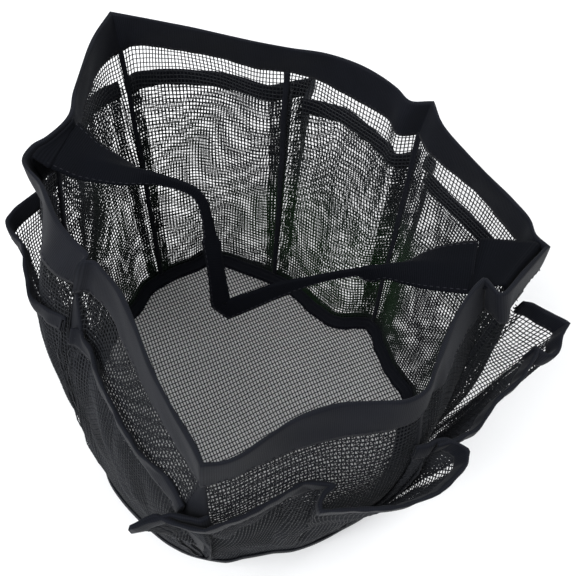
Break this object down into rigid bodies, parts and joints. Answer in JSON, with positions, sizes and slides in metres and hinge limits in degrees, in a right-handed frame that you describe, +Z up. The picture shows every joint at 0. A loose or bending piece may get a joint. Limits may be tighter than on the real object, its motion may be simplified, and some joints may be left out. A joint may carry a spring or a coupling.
{
  "type": "mesh shower caddy",
  "caption": "Round open tote of black mesh with a nylon hem, outer mesh pockets with bound mouths, a flat mesh base and a carrying strap that swings over the rim.",
  "frame": {"origin": "on the floor under the middle of the box around the caddy", "axes": "+X runs along the carrying strap from its left tab to its right tab, -Y is the front, +Z is up"},
  "size_m": [0.297, 0.2844, 0.2],
  "materials": {
    "mesh": "matte",
    "base_net": "matte",
    "nylon_cloth": "matte",
    "webbing": "matte"
  },
  "bodies": {
    "bag": {"base_net": "base_net", "base_binding": "nylon_cloth", "rim_hem": "nylon_cloth", "wall_net_right_back": "mesh", "wall_net_back_right": "mesh", "wall_net_back_left": "mesh", "wall_net_left_back": "mesh", "wall_net_left_front": "mesh", "wall_net_front_left": "mesh", "wall_net_front_right": "mesh", "wall_net_right_front": "mesh", "seam_tape_right_back": "nylon_cloth", "seam_tape_back_right": "nylon_cloth", "seam_tape_back_left": "nylon_cloth", "seam_tape_left_back": "nylon_cloth", "seam_tape_left_front": "nylon_cloth", "seam_tape_front_left": "nylon_cloth", "seam_tape_front_right": "nylon_cloth", "seam_tape_right_front": "nylon_cloth", "pocket_net_right_back": "mesh", "pocket_net_back_right": "mesh", "pocket_net_back_left": "mesh", "pocket_net_left_back": "mesh", "pocket_net_left_front": "mesh", "pocket_net_front_left": "mesh", "pocket_net_front_right": "mesh", "pocket_net_right_front": "mesh", "pocket_binding_right_back": "nylon_cloth", "pocket_binding_back_right": "nylon_cloth", "pocket_binding_back_left": "nylon_cloth", "pocket_binding_left_back": "nylon_cloth", "pocket_binding_left_front": "nylon_cloth", "pocket_binding_front_left": "nylon_cloth", "pocket_binding_front_right": "nylon_cloth", "pocket_binding_right_front": "nylon_cloth", "handle_tab_left": "webbing", "handle_tab_right": "webbing"},
    "handle": {"handle_end_left": "webbing", "handle_grip": "webbing", "handle_end_right": "webbing"}
  },
  "joints": [
    {"name": "handle_swing", "type": "hinge", "parent": "bag", "child": "handle", "pos_m": [-0.01079, 0.01105, 0.197], "axis": [-1, 0, 0], "range_deg": [0, 180]}
  ]
}
